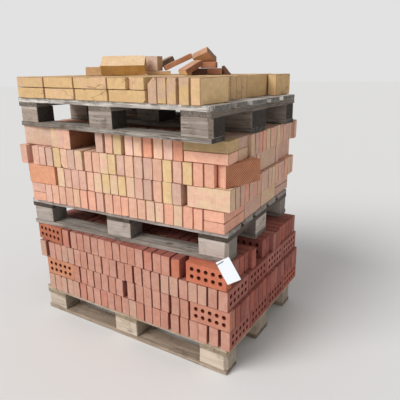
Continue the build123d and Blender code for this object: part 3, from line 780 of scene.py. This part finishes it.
TONES = as_light({
    "rose": ((199, 149, 131), (191, 137, 119)),
    "clay": ((192, 136, 116), (198, 146, 128)),
    "sand_rose": ((195, 157, 137), (200, 151, 131)),
    "rust": ((197, 123, 97), (189, 115, 90)),
    "pink_red": ((193, 128, 110), (198, 141, 123)),
    "fired": ((197, 116, 88), (187, 106, 80)),
    "fired_dull": ((177, 107, 83), (188, 119, 89)),
    "fired_pale": ((193, 134, 112), (188, 124, 104)),
    "fired_sand": ((199, 138, 107), (194, 130, 100)),
    # The deep reds serve long sides and the red load's other bricks: partly the clay's own deeper
    # red, partly painted shade.
    "deep_red": ((162, 98, 86), (150, 86, 78)),
    "deep_rose": ((172, 114, 102), (160, 98, 90)),
    "brick_red": ((178, 106, 90), (168, 94, 82)),
    "shaded": ((168, 122, 102), (150, 104, 86)),
    "salmon": ((229, 181, 155), (224, 173, 149)),
    "coral": ((234, 176, 150), (228, 168, 144)),
    "pink": ((222, 175, 155), (229, 185, 164)),
    "peach": ((234, 190, 160), (226, 180, 154)),
    "cream": ((226, 194, 160), (230, 184, 162)),
    "yellow": ((226, 195, 150), (223, 186, 140)),
    "tan": ((220, 186, 150), (224, 192, 138)),
    "beige": ((220, 184, 162), (214, 178, 152)),
    "dusty": ((211, 173, 154), (204, 167, 153)),
    "mauve": ((216, 174, 156), (224, 184, 161)),
    # Painted light: peach, pink and coral made paler for the front of the first mixed course, which
    # stands in the shade of the pallet above.
    "light_peach": ((246, 203, 172), (240, 194, 164)),
    "light_pink": ((243, 196, 174), (246, 204, 184)),
    "light_coral": ((246, 190, 162), (241, 182, 156)),
    "orange": ((236, 168, 138), (228, 158, 130)),
    "apricot": ((226, 162, 128), (218, 152, 120)),
    # Painted shade: a yellow darkened to olive for the upper flat of the first mixed course, under
    # the pallet above.
    "olive": ((200, 168, 126), (208, 178, 128)),
    "burnt": ((205, 142, 108), (196, 131, 99)),
    "buff": ((217, 182, 132), (211, 173, 126)),
    "straw": ((219, 180, 141), (215, 182, 132)),
    "mottled": ((200, 165, 138), (210, 176, 124)),
    # Painted light: a paler buff for the right face of the last brick on edge, which the lamp
    # leaves in shade.
    "painted_light_buff": ((236, 200, 152), (228, 192, 142)),
    "ochre": ((204, 165, 102), (191, 149, 88)),
    "warm_cream": ((236, 204, 166), (232, 196, 152)),
    "pale_pink": ((226, 198, 180), (218, 184, 164)),
    "grey_tan": ((196, 168, 132), (184, 152, 120)),
    "orange_brown": ((198, 140, 104), (186, 126, 92)),
    "pink_brown": ((196, 152, 122), (186, 138, 110)),
    "grey_brown": ((158, 126, 106), (146, 112, 94)),
    "brown": ((158, 108, 80), (140, 92, 70)),
    "dark_brown": ((118, 84, 66), (100, 70, 56)),
    # Painted shade: the dark grey long sides of the rear leaning brick.
    "painted_shade_grey": ((114, 96, 82), (98, 82, 70)),
    "shadow": ((128, 66, 46), (114, 58, 40)),
})
# Long sides: the deep reds are partly the clay and partly painted shade.
LONG_SIDES = {
    "rose": "deep_rose", "clay": "deep_red", "sand_rose": "deep_rose", "rust": "deep_red",
    "pink_red": "deep_red", "splayed": "burnt", "outer_buff": "painted_light_buff", "gap_end": "brown",
}
TONES["splayed"] = TONES["coral"]
# The header beside a gap in the first mixed course keeps salmon ends, and its long sides and beds
# take brown, painted shade inside the gap.
TONES["gap_end"] = TONES["salmon"]
# The last brick on edge keeps straw ends, and its long sides carry painted light.
TONES["outer_buff"] = TONES["straw"]


def faces_of(name):
    """The tone of each kind of face of a brick with this tone."""
    long_side = TONES[LONG_SIDES.get(name, name)]
    return {
        END: TONES[name], SIDE: long_side, BED: long_side, None: TONES[name], HOLE: TONES["shadow"],
    }


print("tones", len(TONES))

# %% [markdown]
# The front row of each course is described brick by brick, from the left, because the eye reads
# the load by it. All other bricks take a tone from their load's palette with a seeded draw.
# %% Rows of the loads
FRONT_ROWS = {
    "red_course_1": "fired_dull pink_red rose clay rose rose rose clay rose clay clay rose"
        " pink_red clay clay rust fired",
    "red_course_2": "sand_rose rose rose sand_rose sand_rose rose clay rose rose clay rose clay"
        " clay rose rose rose sand_rose sand_rose rose sand_rose sand_rose rose rose",
    "red_course_3": "fired_sand clay clay rose rose rose clay rose rose rose rose rose rose rose"
        " clay fired_pale",
    "red_course_4": "sand_rose sand_rose sand_rose sand_rose sand_rose pink_red rose rose"
        " pink_red rose clay rose sand_rose clay clay clay clay rose clay rose rose rose rose",
    # The first mixed course has painted shade on the header beside the gap and painted light on the
    # bricks under the pallet.
    "mixed_course_1": "beige cream pink gap_end dusty salmon yellow light_pink light_peach"
        " orange light_peach light_pink orange light_coral",
    "mixed_course_2": "pink pink pink dusty yellow peach dusty cream salmon salmon cream yellow"
        " mauve peach mauve mauve salmon yellow pink yellow coral coral splayed",
    "mixed_course_3": "apricot cream pink pink pink salmon cream tan cream yellow cream pink"
        " dusty salmon yellow dusty cream",
    "mixed_course_4": "coral pink salmon salmon salmon peach coral coral pink salmon coral coral"
        " salmon salmon cream cream coral cream coral coral coral",
    # This flat is a yellow brick with painted shade of the pallet above.
    "mixed_course_1_upper": "olive",
    "mixed_course_4_upper": "pink coral",
    "buff_lower": "buff straw buff buff",
    "buff_upper": "straw buff straw buff straw straw",
    # The last brick on edge has long sides with painted light.
    "buff_edge": "mottled mottled mottled mottled outer_buff",
}
print("front bricks with a tone of their own", sum(len(row.split()) for row in FRONT_ROWS.values()))

# %% [markdown]
# A tone that stands twice in a palette is drawn twice as often. The bricks inside a load are seen
# only through gaps, so they have palettes of their own, darker for the red and mixed loads as
# painted shade of those gaps.
# %% Palettes of the loads
PALETTES = {
    "red": ("deep_rose", "deep_red", "deep_red", "brick_red"),
    # The inner palettes are darker: painted shade of the gaps.
    "red_inner": ("deep_red", "deep_red", "brick_red"),
    "mixed": ("salmon", "pink", "pink", "dusty", "cream", "coral", "mauve", "mauve", "beige"),
    "mixed_inner": ("shaded", "shaded", "brown"),
    "buff": ("buff", "buff", "straw", "straw", "mottled"),
    "buff_inner": ("buff", "buff", "straw", "mottled"),
}
HATCHED = {"splayed": BED}
INNER_REACH = (0.36, 0.26)
FRONT_REACH = 0.034
LOAD_FRONTS = {"red": -0.414, "mixed": -0.420, "buff": -0.410}


def front_place(solid, back):
    """How near a solid comes to the viewer in its load's frame, and where it starts along X."""
    into = back @ solid.frame
    reach = [
        sum(abs(into[axis][way]) * solid.size[way] / 2 for way in range(3)) for axis in range(2)
    ]
    return into.translation.y - reach[1], into.translation.x - reach[0]


def palette_of(load, place):
    """The palette for a brick of a load, by its place in the load's frame."""
    inner = abs(place.x) < INNER_REACH[0] and abs(place.y) < INNER_REACH[1]
    return PALETTES[load + "_inner" if inner else load]


print("palettes", ", ".join(PALETTES))

# %% [markdown]
# Bricks that are thrown on a heap or set hard against each other lose corners. A slanted cut with
# bisect_plane takes one off, and the wound is closed with a face that shows as worn.
# %% Chipped corners
CHIP_COUNTS = (1, 2, 3)
CHIP_SLANT = 0.3
CHIP_DEPTH = (0.001, 0.0045)
CHIP_DEEPER = (1, 1, 1.8)


def chip_corners(shape, size, draw):
    """Knocks one to three corners off a brick."""
    for _ in range(draw.choice(CHIP_COUNTS)):
        corner = Vector([draw.choice((-1, 1)) * size[axis] / 2 for axis in range(3)])
        way = Vector([
            math.copysign(draw.uniform(CHIP_SLANT, 1), corner[axis]) for axis in range(3)
        ])
        way.normalize()
        depth = draw.uniform(*CHIP_DEPTH) * draw.choice(CHIP_DEEPER)
        knock_off(shape, corner - way * depth, way)


print("chips are up to", round(1000 * CHIP_DEPTH[1] * max(CHIP_DEEPER), 1), "mm deep")

# %% [markdown]
# Now one brick can be made from start to end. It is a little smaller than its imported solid, which
# opens the dark joint that bricks without mortar show, and it is turned by a fraction of a degree,
# as a bricklayer's hand would leave it.
# %% One brick
BRICK_SHRINK = Vector((0.0014, 0.0014, 0.002))
CUT_ALONG = 0.17
CUT_ASIDE = 0.05
HOLE_RIM = 0.0012
CHIP_SHARE = 0.75
ARRIS_SPREAD = (0.7, 1.4)
LIGHT_SPREAD = (0.95, 1.05)
NUDGE = 0.3


def finished_brick(solid, faces, draw, arris, holed=False, hatch=None):
    """A rough brick with its colours, back at its place in the stack."""
    size = solid.size - BRICK_SHRINK
    if holed:
        shape = holed_shape(size)
        round_edges(shape, HOLE_RIM)
    else:
        shape = solid.copied()
        ratio = [size[axis] / solid.size[axis] for axis in range(3)]
        bmesh.ops.scale(shape, vec=ratio, verts=shape.verts)
        cut_across(shape, (size.x * CUT_ALONG, 0, 0), (1, 0, 0))
        cut_across(shape, (-size.x * CUT_ALONG, 0, 0), (1, 0, 0))
        cut_across(shape, (0, size.y * CUT_ASIDE, 0), (0, 1, 0))
        if draw.random() < CHIP_SHARE:
            chip_corners(shape, size, draw)
        round_edges(shape, arris * draw.uniform(*ARRIS_SPREAD))
        waver(shape, draw, WAVER)
    light = {kind: draw.uniform(*LIGHT_SPREAD) for kind in (END, SIDE, BED, None, HOLE)}
    stamp(
        shape, lambda kind: lighter(faces[kind], light[kind]), pattern_place(draw), holed, hatch,
    )
    nudge = Matrix.Rotation(math.radians(draw.uniform(-NUDGE, NUDGE)), 4, draw.choice("XYZ"))
    shape.transform(solid.frame @ nudge)
    return shape


print("joints open by", round(1000 * BRICK_SHRINK.z), "mm")

# %% [markdown]
# The plain bricks and the holed ones of a course are two nodes, but they stand in one front row,
# so the row is sorted over both before the tones are given out. Each course has its own seed, and
# the same bricks come out in every run. A tone is drawn for the front bricks too and then not
# used, so that a change to the front row leaves all the others as they are.
# %% One course
def dress_course(course, material, nodes, draw):
    """Finishes all nodes of one course, with one list of tones for its front row."""
    load = course.split("_")[0]
    gathered = []
    kept = []
    for node in nodes:
        shape, solids = solids_of(node, clay_axes)
        kept.append(shape)
        gathered += [(node, solid) for solid in solids]
    back = tier_frame(nodes[0]).inverted()
    row = []
    for number, (node, solid) in enumerate(gathered):
        near, start = front_place(solid, back)
        if near < LOAD_FRONTS[load] + FRONT_REACH:
            row.append((start, number))
    row.sort()
    names = FRONT_ROWS.get(course, "").split()
    print(course, "front row", len(row), "tones", len(names))
    chosen = {number: name for (start, number), name in zip(row, names)}
    shapes = {node: [] for node in nodes}
    for number, (node, solid) in enumerate(gathered):
        drawn = draw.choice(palette_of(load, back @ solid.centre))
        name = chosen.get(number, drawn)
        holed = node.endswith("holed_bricks")
        shapes[node].append(finished_brick(
            solid, faces_of(name), draw, ARRIS[load], holed, HATCHED.get(name)
        ))
    for node in nodes:
        make_piece(node, material, shapes[node])
    for shape in kept:
        shape.free()


print("bricks with a hatched face:", ", ".join(HATCHED))

# %% [markdown]
# The loads are dressed from the bottom up. The hidden middle of a course is one packed core, and
# it is finished like a brick, since a gap may show a bit of it.
# %% Loads of bricks
COURSES = (4, 3, 2, 1)
RED_SEED = 40
MIXED_SEED = 50
UPPER_SEED = 60
BUFF_SEEDS = {"buff_lower_flat": 71, "buff_upper_flat": 72, "buff_edge": 73}

for course in COURSES:
    name = f"red_course_{course}"
    nodes = [name + "_bricks", name + "_holed_bricks"]
    nodes += [name + "_core"] if course > 1 else []
    dress_course(name, red_clay, nodes, random.Random(RED_SEED + course))
for course in COURSES:
    name = f"mixed_course_{course}"
    nodes = [name + "_bricks"]
    nodes += [name + "_core"] if course > 1 else []
    dress_course(name, mixed_clay, nodes, random.Random(MIXED_SEED + course))
for course in (4, 1):
    name = f"mixed_course_{course}_upper"
    dress_course(name, mixed_clay, [name + "_bricks"], random.Random(UPPER_SEED + course))
for name, seed in BUFF_SEEDS.items():
    course = name.removesuffix("_flat")
    dress_course(course, buff_clay, [name + "_bricks"], random.Random(seed))

# %% [markdown]
# The loose bricks on top are the pieces that catch the light, so each gets its own tones, one for
# its two ends, one for its narrow long sides and one for its wide faces.
# %% Loose bricks
LOOSE = {
    "loose_tilted_brick": (loose_clay, "ochre", "ochre", "warm_cream"),
    "loose_prop_brick": (loose_clay, "straw", "straw", "buff"),
    "loose_edge_brick": (loose_clay, "grey_tan", "pale_pink", "pale_pink"),
    "loose_bat": (loose_clay, "warm_cream", "straw", "warm_cream"),
    "pile_left_brick": (dark_clay, "dark_brown", "dark_brown", "brown"),
    "pile_right_brick": (dark_clay, "brown", "dark_brown", "brown"),
    "pile_upper_brick": (dark_clay, "orange_brown", "brown", "orange_brown"),
    "pile_top_bat": (dark_clay, "pink_brown", "grey_brown", "straw"),
    # Its long sides carry painted shade from under the tilted brick.
    "leaning_rear_brick": (dark_clay, "grey_brown", "painted_shade_grey", "grey_brown"),
    "leaning_back_brick": (dark_clay, "orange_brown", "orange_brown", "pink_brown"),
    "leaning_front_brick": (loose_clay, "buff", "brown", "pink_brown"),
    "pile_broken_brick": (dark_clay, "dark_brown", "dark_brown", "dark_brown"),
}
LOOSE_SEED = 80

draw = random.Random(LOOSE_SEED)
for node, (material, end, side, bed) in LOOSE.items():
    kept, solids = solids_of(node, clay_axes)
    faces = faces_of(bed)
    faces[END] = TONES[end]
    faces[SIDE] = TONES[side]
    shapes = [finished_brick(solid, faces, draw, LOOSE_ARRIS) for solid in solids]
    make_piece(node, material, shapes)
    kept.free()

# %% [markdown]
# The three pallets have weathered differently: the lowest is nearly fresh, the middle one has gone
# light grey and the top one dark. A sawn end drinks more water than a face and turns darker, so
# an end gets only a share of its face's brightness. The ends of the top pallet get a far smaller
# share, partly damp and mould and partly painted shade on its right side.
# %% Tones of the pallets
WOOD_TONES = as_light({
    "top deck": ((230, 224, 216), (188, 180, 170)),
    "top block": ((158, 142, 130), (176, 164, 154)),
    "top stringer": ((150, 138, 128), (128, 116, 106)),
    "top board": ((136, 126, 116), (190, 182, 172)),
    "middle deck": ((208, 200, 194), (184, 174, 166)),
    "middle block": ((194, 180, 170), (210, 198, 188)),
    "middle stringer": ((112, 100, 90), (90, 80, 72)),
    "middle board": ((150, 140, 130), (190, 180, 170)),
    "bottom deck": ((200, 182, 160), (180, 160, 138)),
    "bottom block": ((208, 189, 168), (220, 204, 186)),
    "bottom stringer": ((180, 160, 134), (196, 178, 152)),
    "bottom board": ((158, 139, 121), (184, 165, 146)),
})
# The top pallet's small shares are partly damp and partly painted shade.
DAMP_AND_SHADED_ENDS = {
    "top block": 0.16, "top deck": 0.4, "top board": 0.3, "top stringer": 1, "middle block": 0.5,
}
END_SHARE = 0.75
BLOCK_LIGHT = {
    "bottom": (0.82, 0.87, 0.92), "middle": (0.76, 0.79, 0.96), "top": (1.12, 0.97, 0.91),
}
print("wood tones", len(WOOD_TONES))

# %% [markdown]
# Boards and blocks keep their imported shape. A board gets a cut every few centimetres, so that its
# edges can waver like a sawn edge does, and its sharp edges are taken off. The grain pattern runs
# along X, so a piece that lies along Y is turned for as long as its coordinates are stored.
# %% One board
BOARD_CUT = 0.09
FEWEST_CUTS = 2
BOARD_WAVER = 0.0012
WOOD_EDGE = 0.0018
QUARTER_TURN = Matrix.Rotation(math.radians(-90), 4, "Z")


def finished_board(solid, tone, end_share, draw, brightness):
    """A rough board or block with its colours, back at its place in the stack."""
    shape = solid.copied()
    along = max(range(3), key=lambda axis: solid.size[axis])
    cuts = max(FEWEST_CUTS, round(solid.size[along] / BOARD_CUT))
    way = [1 if axis == along else 0 for axis in range(3)]
    for number in range(1, cuts):
        place = Vector(way) * solid.size[along] * (number / cuts - 0.5)
        cut_across(shape, place, way)
    round_edges(shape, WOOD_EDGE)
    waver(shape, draw, BOARD_WAVER)
    light = draw.uniform(*LIGHT_SPREAD) * brightness
    turn = QUARTER_TURN if along == 1 else Matrix.Identity(4)
    shape.transform(turn)
    stamp(
        shape, lambda kind: lighter(tone, light * (end_share if kind == END else 1)),
        pattern_place(draw),
    )
    shape.transform(solid.frame @ turn.inverted())
    return shape


print("a cut every", round(100 * BOARD_CUT), "cm of a board")

# %% [markdown]
# A pallet is four nodes: bottom boards, blocks, stringers and deck boards. Their pieces are square
# to the pallet, so the pallet's own axes serve for all of them. The blocks take one of three
# brightnesses, by whether they stand at the left, in the middle or at the right.
# %% Pallets
BLOCK_STEP = 0.53
PALLET_PARTS = {
    "bottom_boards": "board", "blocks": "block", "stringers": "stringer", "deck_boards": "deck",
}


def dress_pallet(tier, board_wood, block_wood, draw):
    """Finishes the four nodes of one pallet."""
    axes = [list(row) for row in tier_frame(tier).to_3x3().transposed()]
    back = tier_frame(tier).inverted()
    for part, tone in PALLET_PARTS.items():
        node = f"{tier}_pallet_{part}"
        name = f"{tier} {tone}"
        kept, solids = solids_of(node, lambda faces: axes)
        shapes = []
        for solid in solids:
            step = max(-1, min(1, round((back @ solid.centre).x / BLOCK_STEP)))
            brightness = BLOCK_LIGHT[tier][step + 1] if part == "blocks" else 1
            shapes.append(finished_board(
                solid, WOOD_TONES[name], DAMP_AND_SHADED_ENDS.get(name, END_SHARE), draw, brightness
            ))
        make_piece(node, block_wood if part == "blocks" else board_wood, shapes)
        kept.free()


PALLET_WOODS = {
    "bottom": (fresh_wood, fresh_block_wood, 91),
    "middle": (grey_wood, grey_block_wood, 92),
    "top": (dark_wood, dark_block_wood, 93),
}
for tier, (board_wood, block_wood, seed) in PALLET_WOODS.items():
    dress_pallet(tier, board_wood, block_wood, random.Random(seed))

# %% [markdown]
# The card is flat and its tie is thin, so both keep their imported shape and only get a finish:
# paper with a faint grain, and dark string with a rough surface. They have no stored colours, so
# their patterns read Object coordinates.
# %% Card and tie
def plain_finish(name, roughness, base, scale, spread, depth):
    """A finish of one colour with a fine noise in its brightness and its bump."""
    finish = Finish(name, roughness)
    place = finish.add("TexCoord", {}).outputs["Object"]
    fine = finish.noise(place, scale)
    tone = finish.shade(base[:3], finish.between(fine, *MIDDLE_STEP, *spread))
    return finish.dress(tone, fine, depth)


card_paper = plain_finish("thin white card", 0.6, colour(238, 242, 247), 300, (0.97, 1.02), 0.0001)
dark_string = plain_finish("dark string", 0.7, colour(60, 58, 56), 900, (0.8, 1.2), 0.0003)
for node, material in zip(KEPT_SHAPES, (card_paper, dark_string)):
    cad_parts[node].material_slots[0].material = material
print("finishes", card_paper.name, "and", dark_string.name)
